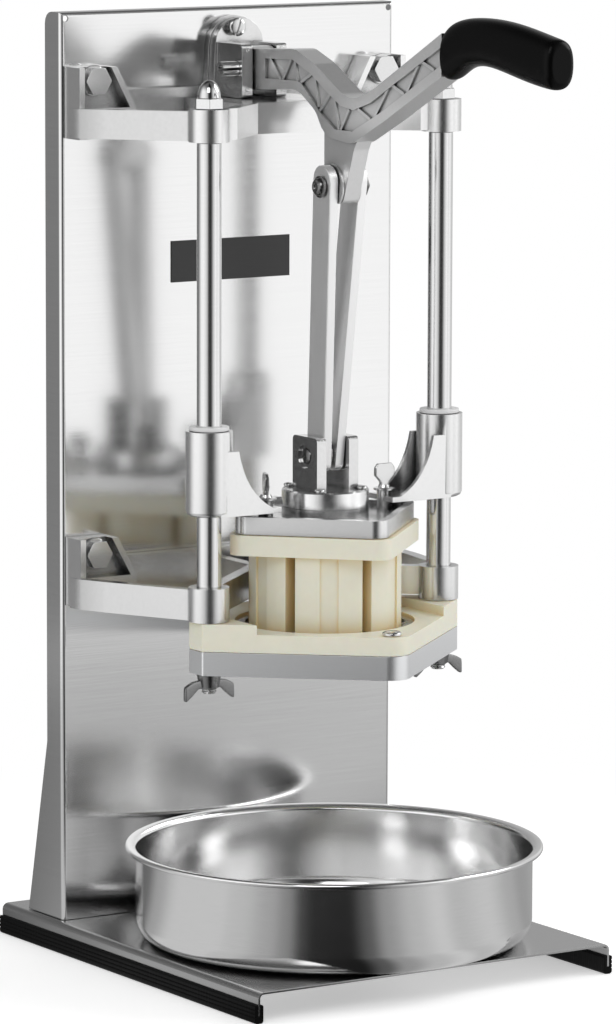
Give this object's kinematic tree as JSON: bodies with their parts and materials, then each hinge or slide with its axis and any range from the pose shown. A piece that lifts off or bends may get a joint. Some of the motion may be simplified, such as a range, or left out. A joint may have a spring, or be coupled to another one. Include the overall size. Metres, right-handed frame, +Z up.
{
  "type": "lever fruit wedger",
  "caption": "Lever-operated wedge cutter on a stand: hinged lever, links, sliding pusher with wedge fingers, radial blade set, folded steel back and base, loose catch pan.",
  "frame": {"origin": "middle of the bounding box's base, on the surface that the rubber trims stand on; the cutting axis is the vertical line x = 2.3 mm, y = 36.9 mm", "axes": "+Z up, -Y to the front where the lever's grip points, +X to the right seen from the front"},
  "size_m": [0.2806, 0.4498, 0.6296],
  "materials": {
    "stainless": "bright, finely brushed",
    "base_steel": "brushed",
    "cast_aluminium": "satin, cast",
    "lever_aluminium": "satin, cast",
    "plate_aluminium": "milled",
    "chrome": "polished",
    "zinc": "zinc plated",
    "blade_steel": "ground",
    "pan_steel": "satin",
    "ivory_plastic": "matte",
    "nylon": "matte",
    "rubber": "matte"
  },
  "bodies": {
    "frame": {"base_plate": "base_steel", "rubber_trim_left": "rubber", "rubber_trim_right": "rubber", "back_panel": "stainless", "upper_bracket": "cast_aluminium", "lower_bracket": "cast_aluminium", "hinge_bracket": "cast_aluminium", "hinge_screw": "zinc", "hinge_nut": "zinc", "hinge_pin": "zinc", "guide_plate": "ivory_plastic", "blade_plate": "plate_aluminium", "blade_set": "blade_steel", "plate_screw_front": "zinc", "plate_screw_rear": "zinc", "base_bolt_left": "zinc", "base_nut_left": "zinc", "bracket_bolt_upper_left": "zinc", "bracket_nut_upper_left": "zinc", "bracket_bolt_lower_left": "zinc", "bracket_nut_lower_left": "zinc", "guide_rod_left": "chrome", "cap_nut_left": "chrome", "base_bolt_right": "zinc", "base_nut_right": "zinc", "bracket_bolt_upper_right": "zinc", "bracket_nut_upper_right": "zinc", "bracket_bolt_lower_right": "zinc", "bracket_nut_lower_right": "zinc", "guide_rod_right": "chrome", "cap_nut_right": "chrome"},
    "lever": {"lever_casting": "lever_aluminium", "lug_pin": "zinc", "grip": "rubber"},
    "links": {"link_left": "cast_aluminium", "link_right": "cast_aluminium", "link_bolt": "zinc", "link_bolt_nut": "zinc", "link_roller": "zinc"},
    "head": {"pusher_casting": "cast_aluminium", "bush_left": "nylon", "bush_right": "nylon", "pusher_block": "ivory_plastic", "clevis": "cast_aluminium", "clevis_pin": "zinc", "clevis_screw_front_left": "zinc", "clevis_screw_front_right": "zinc", "clevis_screw_rear_left": "zinc", "clevis_screw_rear_right": "zinc"},
    "pan": {"catch_pan": "pan_steel"},
    "wing_nut_left": {"wing_nut_left": "zinc"},
    "wing_nut_right": {"wing_nut_right": "zinc"},
    "thumb_screw_left": {"thumb_screw_left": "zinc"},
    "thumb_screw_right": {"thumb_screw_right": "zinc"}
  },
  "joints": [
    {"name": "lever_swing", "type": "hinge", "parent": "frame", "child": "lever", "pos_m": [0.00232, 0.1189, 0.583], "axis": [-1, 0, 0], "range_deg": [0, 75]},
    {"name": "head_slide", "type": "slide", "parent": "frame", "child": "head", "axis": [0, 0, 1], "range_m": [0, 0.1466]},
    {"name": "link_swing", "type": "hinge", "parent": "head", "child": "links", "pos_m": [0.00232, 0.0369, 0.3362], "axis": [-1, 0, 0], "range_deg": [0, 1.6]},
    {"name": "pan_slide", "type": "slide", "parent": "frame", "child": "pan", "axis": [0, -1, 0], "range_m": [0, 0.3]},
    {"name": "wing_nut_left_spin", "type": "hinge", "parent": "frame", "child": "wing_nut_left", "pos_m": [-0.08693, 0.0369, 0.195], "axis": [0, 0, 1], "continuous": true},
    {"name": "thumb_screw_left_spin", "type": "hinge", "parent": "head", "child": "thumb_screw_left", "pos_m": [-0.04367, 0.0369, 0.3], "axis": [0, 0, 1], "continuous": true},
    {"name": "wing_nut_right_spin", "type": "hinge", "parent": "frame", "child": "wing_nut_right", "pos_m": [0.09158, 0.0369, 0.195], "axis": [0, 0, 1], "continuous": true},
    {"name": "thumb_screw_right_spin", "type": "hinge", "parent": "head", "child": "thumb_screw_right", "pos_m": [0.04832, 0.0369, 0.3], "axis": [0, 0, 1], "continuous": true}
  ],
  "couplings": [
    {"joint": "head_slide", "follows": "lever_swing", "m_per_rad": 0.11198},
    {"joint": "link_swing", "follows": "lever_swing", "ratio": 0.021095}
  ]
}
